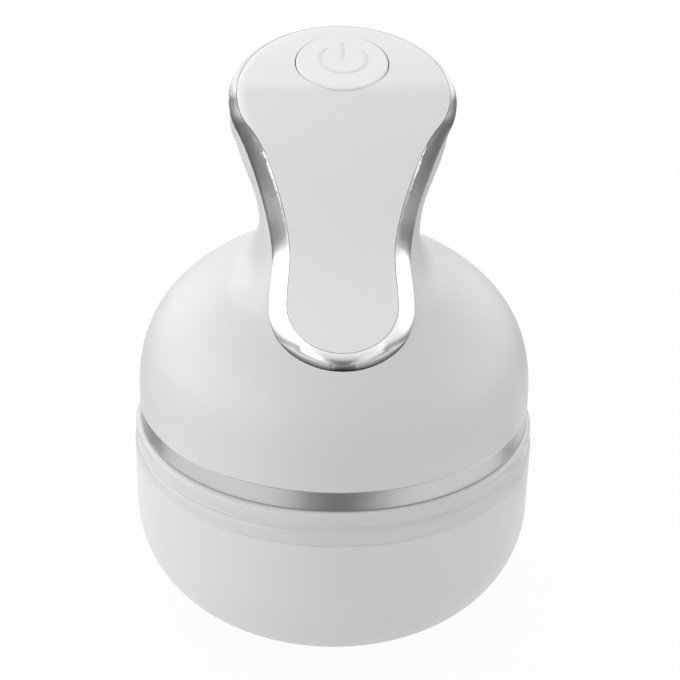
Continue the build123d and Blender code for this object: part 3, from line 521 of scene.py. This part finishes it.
class PlateProfile:
    """Slope of the faceplate along its middle line, as it is and eased over the head."""

    def __init__(self, plate):
        mesh = plate.data
        surface = BVHTree.FromPolygons(
            [vertex.co for vertex in mesh.vertices], [face.vertices for face in mesh.polygons]
        )
        places = []
        slopes = []
        for step in range(PROFILE_POINTS):
            start = Vector((0, PROFILE_FRONT, PROFILE_LOW + PROFILE_STEP*step))
            place, normal = surface.ray_cast(start, Vector((0, 1, 0)))[:2]
            if place is not None and place.z < HOLE_EDGE:
                places.append(place)
                slopes.append(math.atan2(normal.z, -normal.y))
        last = places[-1]
        slope = slopes[-1]
        upward = Vector((0, math.sin(slope), math.cos(slope)))
        for step in range(1, SLOPE_POINTS):
            places.append(last + SLOPE_STEP*step*upward)
            slopes.append(slope)
        self.tree = KDTree(len(places))
        for row, place in enumerate(places):
            self.tree.insert(Vector((0, place.y, place.z)), row)
        self.tree.balance()
        self.slopes = spread(places, slopes, NEAR_REACH)
        self.eased = []
        for place, near, far in zip(places, self.slopes, spread(places, slopes, HEAD_REACH)):
            head = share(place.z, HEAD_START, HEAD_RISE)
            self.eased.append(near + head*(far - near))

    def nearest(self, place):
        """The line's point beside a place, and its row."""
        return self.tree.find(Vector((0, place.y, place.z)))[:2]

    def front(self, row):
        """Direction in which the faceplate looks at a row."""
        return Vector((0, -math.cos(self.slopes[row]), math.sin(self.slopes[row])))

    def easing(self, row):
        """Turn from the slope as it is to the eased one."""
        return self.slopes[row] - self.eased[row]


def cut_rows(skin):
    """Level cuts through the head, so that a skin's shading can change along it."""
    make_active(skin)
    bpy.ops.object.mode_set(mode="EDIT")
    level = ROW_LOW
    while level < ROW_HIGH:
        bpy.ops.mesh.select_all(action="SELECT")
        bpy.ops.mesh.bisect(plane_co=(0, 0, level), plane_no=(0, 0, 1))
        level += ROW_STEP
    bpy.ops.object.mode_set(mode="OBJECT")


def even_bevel(lean, front, outward, height):
    """A rounded edge's normal, brought near the one that a flat bevel has there."""
    cheeks = share(height, CHEEK_START, CHEEK_RISE)
    top = share(height, TOP_START, TOP_RISE)
    downward = min(0.0, outward.z)
    flat = math.radians(BEVEL_LEAN + CHEEK_LEAN*cheeks + TOP_LEAN*top + DOWNWARD_LEAN*downward)
    angle = flat + (1 - BEVEL_FLAT - TOP_FLAT*top)*(lean - flat)
    return math.cos(angle)*front + math.sin(angle)*outward


def ease_shading(skin, profile, crown=0.0, bevelled=False):
    """Eases the shading over the head, crowns it across, and evens out a rounded edge."""
    mesh = skin.data
    turned = []
    for loop in mesh.loops:
        place = mesh.vertices[loop.vertex_index].co
        normal = mesh.corner_normals[loop.index].vector.copy()
        beside, row = profile.nearest(place)
        front = profile.front(row)
        forward = normal.dot(front)
        if forward > SIDE_LIMIT:
            lean = math.acos(min(1.0, forward))
            outward = normal - forward*front
            if lean < INNER_LEAN:
                outward = place - beside - (place - beside).dot(front)*front
            if bevelled and outward.length > 0:
                outward.normalize()
                normal = even_bevel(lean, front, outward, place.z)
            normal = Matrix.Rotation(profile.easing(row), 3, "X") @ normal
            normal.x += crown*place.x/PLATE_HALF_WIDTH
            normal.normalize()
        turned.append(normal)
    mesh.normals_split_custom_set(turned)


def mask_plating(trim, profile, white):
    """Round the back of the head, and under the bevel there, the trim is left white."""
    trim.data.materials.append(white)
    for face in trim.data.polygons:
        place = face.center
        row = profile.nearest(place)[1]
        hidden = face.normal.dot(profile.front(row)) < PLATED_SIDE or place.y > PLATED_BACK
        if place.z > PLATED_START and hidden:
            face.material_index = 1


class MASSAGER_OT_outer_pieces(bpy.types.Operator):
    """White and silver outer pieces"""

    bl_idname = "massager.outer_pieces"
    bl_label = "Outer pieces"

    def execute(self, context):
        look = context.scene.massager_finish
        white = plastic("white_shell", tuple(look.white), look.shell_gloss)
        face = plastic("white_faceplate", tuple(look.white_face), look.shell_gloss + 0.05)
        cap = plastic("white_cap", tuple(look.white_cap), look.shell_gloss - 0.08)
        band = plastic("white_band", tuple(look.white_band), look.shell_gloss - 0.08)
        bright = metal("bright_silver", tuple(look.silver), look.trim_gloss)
        satin = metal("satin_silver", shade(look.silver, 0.72), look.ring_gloss)
        soft = rubber("white_rubber", tuple(look.white), 0.55)
        smooth_skin("dome_and_grip", "body_shell", "handset", white)
        plate = smooth_skin("faceplate", "handle_faceplate", "handset", face)
        smooth_skin("button", "power_button", "button", face)
        smooth_skin("cap_bowl", "protective_cap", "cap", cap)
        smooth_skin("band", "lower_housing", "handset", band)
        smooth_skin("ring", "decor_ring", "handset", satin)
        trim = smooth_skin("trim", "handle_trim", "handset", bright)
        profile = PlateProfile(plate)
        cut_rows(plate)
        cut_rows(trim)
        ease_shading(plate, profile, crown=PLATE_CROWN)
        ease_shading(trim, profile, bevelled=True)
        mask_plating(trim, profile, white)
        smooth_skin("socket_plug", "port_plug", "plug", soft)
        return {"FINISHED"}


class MASSAGER_OT_power_symbol(bpy.types.Operator):
    """Raised power symbol on the button"""

    bl_idname = "massager.power_symbol"
    bl_label = "Power symbol"

    def arc(self, symbol):
        """The raised line's section, swept round the symbol's middle as far as the gap."""
        deselect_all()
        bpy.ops.mesh.primitive_circle_add(
            vertices=LINE_SIDES, radius=symbol.line/2, fill_type="NGON"
        )
        arc = bpy.context.active_object
        arc.name = "power_symbol"
        bpy.ops.object.mode_set(mode="EDIT")
        bpy.ops.transform.resize(value=(1, 2*symbol.rise/symbol.line, 1))
        bpy.ops.transform.rotate(
            value=QUARTER_TURN,
            orient_axis="X",
            center_override=(0, 0, 0),
            constraint_axis=(True, False, False),
        )
        bpy.ops.transform.translate(value=(symbol.radius, 0, 0))
        bpy.ops.transform.rotate(
            value=-(QUARTER_TURN + symbol.gap/2), orient_axis="Z", center_override=(0, 0, 0)
        )
        bpy.ops.mesh.spin(
            steps=ARC_STEPS,
            angle=2*math.pi - symbol.gap,
            center=(0, 0, 0),
            axis=(0, 0, 1),
            dupli=False,
            use_normal_flip=False,
        )
        bpy.ops.mesh.select_all(action="SELECT")
        bpy.ops.mesh.remove_doubles(threshold=LINE_MERGE_GAP)
        bpy.ops.mesh.normals_make_consistent(inside=False)
        bpy.ops.object.mode_set(mode="OBJECT")
        arc.data.transform(Matrix.Rotation(-QUARTER_TURN, 4, "Z"))
        return arc

    def bar(self, symbol):
        """The straight raised line from the middle out through the gap."""
        deselect_all()
        bpy.ops.mesh.primitive_cylinder_add(
            vertices=LINE_SIDES,
            radius=symbol.line/2,
            depth=symbol.bar,
            location=(0, symbol.bar/2, 0),
            rotation=(QUARTER_TURN, 0, 0),
        )
        bpy.ops.object.transform_apply(location=True, rotation=True, scale=True)
        bpy.ops.object.mode_set(mode="EDIT")
        bpy.ops.mesh.select_all(action="SELECT")
        bpy.ops.transform.resize(value=(1, 1, 2*symbol.rise/symbol.line))
        bpy.ops.object.mode_set(mode="OBJECT")

    def execute(self, context):
        symbol = context.scene.massager_symbol
        raised = self.arc(symbol)
        self.bar(symbol)
        raised.select_set(True)
        context.view_layer.objects.active = raised
        bpy.ops.object.join()
        across = Vector((1, 0, 0))
        along = Vector((0, math.cos(BUTTON_SLOPE), math.sin(BUTTON_SLOPE)))
        normal = Vector((0, -math.sin(BUTTON_SLOPE), math.cos(BUTTON_SLOPE)))
        place = Matrix((across, along, normal)).transposed().to_4x4()
        place.translation = BUTTON_MIDDLE + normal*BUTTON_FACE + along*symbol.shift
        raised.data.transform(place)
        bpy.ops.object.shade_smooth_by_angle(angle=LINE_SHARP_ANGLE)
        raised.data.materials.clear()
        raised.data.materials.append(bpy.data.materials["white_faceplate"])
        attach(raised, "button")
        return {"FINISHED"}


class MASSAGER_OT_inner_pieces(bpy.types.Operator):
    """Finishes of the rollers, the drive and the electronics"""

    bl_idname = "massager.inner_pieces"
    bl_label = "Inner pieces"

    def execute(self, context):
        steel = metal("plain_steel", (0.56, 0.56, 0.57), 0.32)
        brass = metal("machined_brass", (0.72, 0.53, 0.24), 0.28)
        can = metal("motor_can", (0.62, 0.62, 0.60), 0.38)
        acetal = plastic("natural_acetal", (0.80, 0.77, 0.68), 0.45)
        dark = plastic("dark_plastic", (0.10, 0.105, 0.11), 0.5)
        black = plastic("black_plastic", (0.02, 0.02, 0.022), 0.45)
        light = plastic("light_plastic", (0.72, 0.72, 0.72), 0.45)
        wrap = plastic("battery_wrap", (0.03, 0.14, 0.36), 0.25, 0.01)
        silicone = rubber("grey_silicone", (0.42, 0.43, 0.45))
        lead = rubber("lead_insulation", (0.42, 0.03, 0.03), 0.45)
        green = board("circuit_board", (0.015, 0.12, 0.05), (0.05, 0.26, 0.12))
        finishes = {
            steel: (
                "roller_axles",
                "carrier_screw",
                "planet_pins",
                "motor_shaft",
                "motor_plate",
                "thrust_washer",
                "charging_socket",
                "housing_screws",
                "gear_screws",
                "motor_screws",
                "cradle_screws",
                "main_board_screws",
                "switch_board_screws",
            ),
            can: ("motor",),
            brass: ("sun_gear", "output_bush"),
            acetal: ("planet_carrier", "planet_gear_1", "planet_gear_2", "planet_gear_3"),
            dark: ("gear_case", "battery_cradle"),
            black: ("motor_end_cap", "tact_switch"),
            wrap: ("battery",),
            lead: ("motor_leads",),
            green: ("main_board", "switch_board", "charge_board"),
        }
        for material, nodes in finishes.items():
            for node in nodes:
                dress(node, material)
        smooth_skin("carrier", "roller_carrier", "rotor", light)
        for number in range(1, 5):
            roller = f"roller_{number}"
            smooth_skin(roller, f"roller_ball_{number}", roller, silicone)
        return {"FINISHED"}


class MASSAGER_OT_stage(bpy.types.Operator):
    """Floor, room light, lamps, cards and camera"""

    bl_idname = "massager.stage"
    bl_label = "Stage"

    def floor(self):
        """White where it shows, and pale and matt where it lights the object."""
        deselect_all()
        bpy.ops.mesh.primitive_circle_add(
            vertices=FLOOR_SIDES,
            radius=FLOOR_RADIUS,
            fill_type="NGON",
            location=(0, 0, FLOOR_HEIGHT),
        )
        floor = bpy.context.active_object
        floor.name = "floor"
        material, make = new_material("white_floor")
        glow = make.node("ShaderNodeEmission", {}, {"Color": (1, 1, 1, 1), "Strength": 1.0})
        mixed = {0: FLOOR_GLOW*make.seen(), 1: make.matt(FLOOR_GREY), 2: glow}
        make.output(make.node("ShaderNodeMixShader", {}, mixed))
        floor.data.materials.append(material)

    def room(self, ambient):
        """White where it shows, and weaker where it lights the object."""
        world = bpy.data.worlds.new("room")
        bpy.context.scene.world = world
        world.use_nodes = True
        make = Finish(world.node_tree)
        strength = ambient + (1.0 - ambient)*make.seen()
        inputs = {"Color": (1, 1, 1, 1), "Strength": strength}
        make.output(make.node("ShaderNodeBackground", {}, inputs), "ShaderNodeOutputWorld")

    def lamp(self, name, place, size, power, reflected=True):
        light = bpy.data.lights.new(name, "AREA")
        light.shape = "RECTANGLE"
        light.size, light.size_y = size
        light.energy = power
        lamp = bpy.data.objects.new(name, light)
        bpy.context.scene.collection.objects.link(lamp)
        lamp.location = place
        lamp.rotation_euler = (LAMP_AIM - Vector(place)).to_track_quat("-Z", "Y").to_euler()
        lamp.visible_camera = False
        lamp.visible_glossy = reflected

    def dark_card(self, name, place, size, turn, material):
        """Card that only shows in reflections, as round a product on a photographer's table."""
        deselect_all()
        bpy.ops.mesh.primitive_plane_add(size=1, location=place, rotation=turn)
        sheet = bpy.context.active_object
        sheet.name = name
        sheet.scale = (*size, 1)
        sheet.data.materials.append(material)
        sheet.visible_camera = False
        sheet.visible_diffuse = False
        sheet.visible_shadow = False

    def camera(self, stage):
        """Camera at the photograph's angle, with the whole object in view."""
        camera = bpy.data.cameras.new("camera")
        camera.sensor_width = SENSOR
        camera.lens = stage.lens
        camera.clip_start = CLIP_START
        camera.clip_end = CLIP_END
        eye = bpy.data.objects.new("camera", camera)
        bpy.context.scene.collection.objects.link(eye)
        turn = Matrix.Rotation(stage.orbit, 3, "Z")
        forward = turn @ Vector((0, math.cos(stage.tilt), -math.sin(stage.tilt)))
        right = turn @ Vector((1, 0, 0))
        up = turn @ Vector((0, math.sin(stage.tilt), math.cos(stage.tilt)))
        place = DOME_EDGE - stage.distance*forward + CAMERA_RIGHT*right + CAMERA_UP*up
        level = Matrix((right, up, -forward)).transposed()
        rolled = level @ Matrix.Rotation(stage.roll, 3, "Z")
        eye.matrix_world = Matrix.Translation(place) @ rolled.to_4x4()
        bpy.context.scene.camera = eye

    def execute(self, context):
        stage = context.scene.massager_stage
        self.floor()
        self.room(stage.ambient)
        self.lamp("top_softbox", (0, 0, 0.9), (0.7, 0.7), 1.06)
        self.lamp("top_back_softbox", (0, 0.55, 0.75), (0.8, 0.6), 1.51)
        self.lamp("front_softbox", (0, -0.85, 0.35), (0.5, 0.5), 0.9, reflected=False)
        self.lamp("left_softbox", (-0.85, 0, 0.3), (0.6, 0.6), 2.15)
        self.lamp("left_front_softbox", (-0.65, -0.55, 0.3), (0.5, 0.5), 1.07)
        self.lamp("left_back_softbox", (-0.6, 0.6, 0.4), (0.5, 0.5), 1.26)
        self.lamp("right_softbox", (0.85, 0, 0.3), (0.6, 0.6), 1.43)
        self.lamp("right_back_softbox", (0.6, 0.6, 0.4), (0.5, 0.5), 0.91)
        black = card("black_card", 0.05)
        grey = card("grey_card", 0.12)
        self.dark_card("front_card", (0, -0.93, 0.0004), (1.2, 1.2), CORNER_ON, grey)
        self.dark_card("front_upright_card", (0, -0.93, 0.27), (0.8, 0.54), UPRIGHT, grey)
        self.dark_card("left_card", (-0.41, 0.15, 0.0005), (0.42, 0.9), LEVEL, black)
        self.dark_card("left_back_card", (-0.30, 0.31, 0.0006), (0.40, 0.58), LEVEL, black)
        self.dark_card("right_card", (0.41, 0.15, 0.0005), (0.42, 0.9), LEVEL, black)
        self.dark_card("right_back_card", (0.31, 0.37, 0.0006), (0.38, 0.50), LEVEL, black)
        self.dark_card("near_right_card", (0.15, 0.022, 0.0006), (0.12, 0.022), LEVEL, black)
        self.camera(stage)
        context.scene.view_settings.view_transform = "Standard"
        return {"FINISHED"}


class MASSAGER_PT_panel(bpy.types.Panel):
    """Lists the steps of the model"""

    bl_idname = "MASSAGER_PT_panel"
    bl_label = "Massager"
    bl_space_type = "VIEW_3D"
    bl_region_type = "UI"
    bl_category = "Massager"

    def draw(self, context):
        scene = context.scene
        for group in (scene.massager_finish, scene.massager_symbol, scene.massager_stage):
            column = self.layout.column()
            for name in group.__annotations__:
                column.prop(group, name)
        for step in STEPS:
            self.layout.operator(step.bl_idname)


STEPS = (
    MASSAGER_OT_outer_pieces,
    MASSAGER_OT_power_symbol,
    MASSAGER_OT_inner_pieces,
    MASSAGER_OT_stage,
)
GROUPS = (MassagerFinish, MassagerSymbol, MassagerStage)
KINDS = GROUPS + STEPS + (MASSAGER_PT_panel,)


def register():
    for kind in KINDS:
        bpy.utils.register_class(kind)
    bpy.types.Scene.massager_finish = bpy.props.PointerProperty(type=MassagerFinish)
    bpy.types.Scene.massager_symbol = bpy.props.PointerProperty(type=MassagerSymbol)
    bpy.types.Scene.massager_stage = bpy.props.PointerProperty(type=MassagerStage)


def unregister():
    del bpy.types.Scene.massager_finish
    del bpy.types.Scene.massager_symbol
    del bpy.types.Scene.massager_stage
    for kind in reversed(KINDS):
        bpy.utils.unregister_class(kind)


def main():
    register()
    for step in STEPS:
        area, name = step.bl_idname.split(".")
        getattr(getattr(bpy.ops, area), name)()


if __name__ == "__main__":
    main()
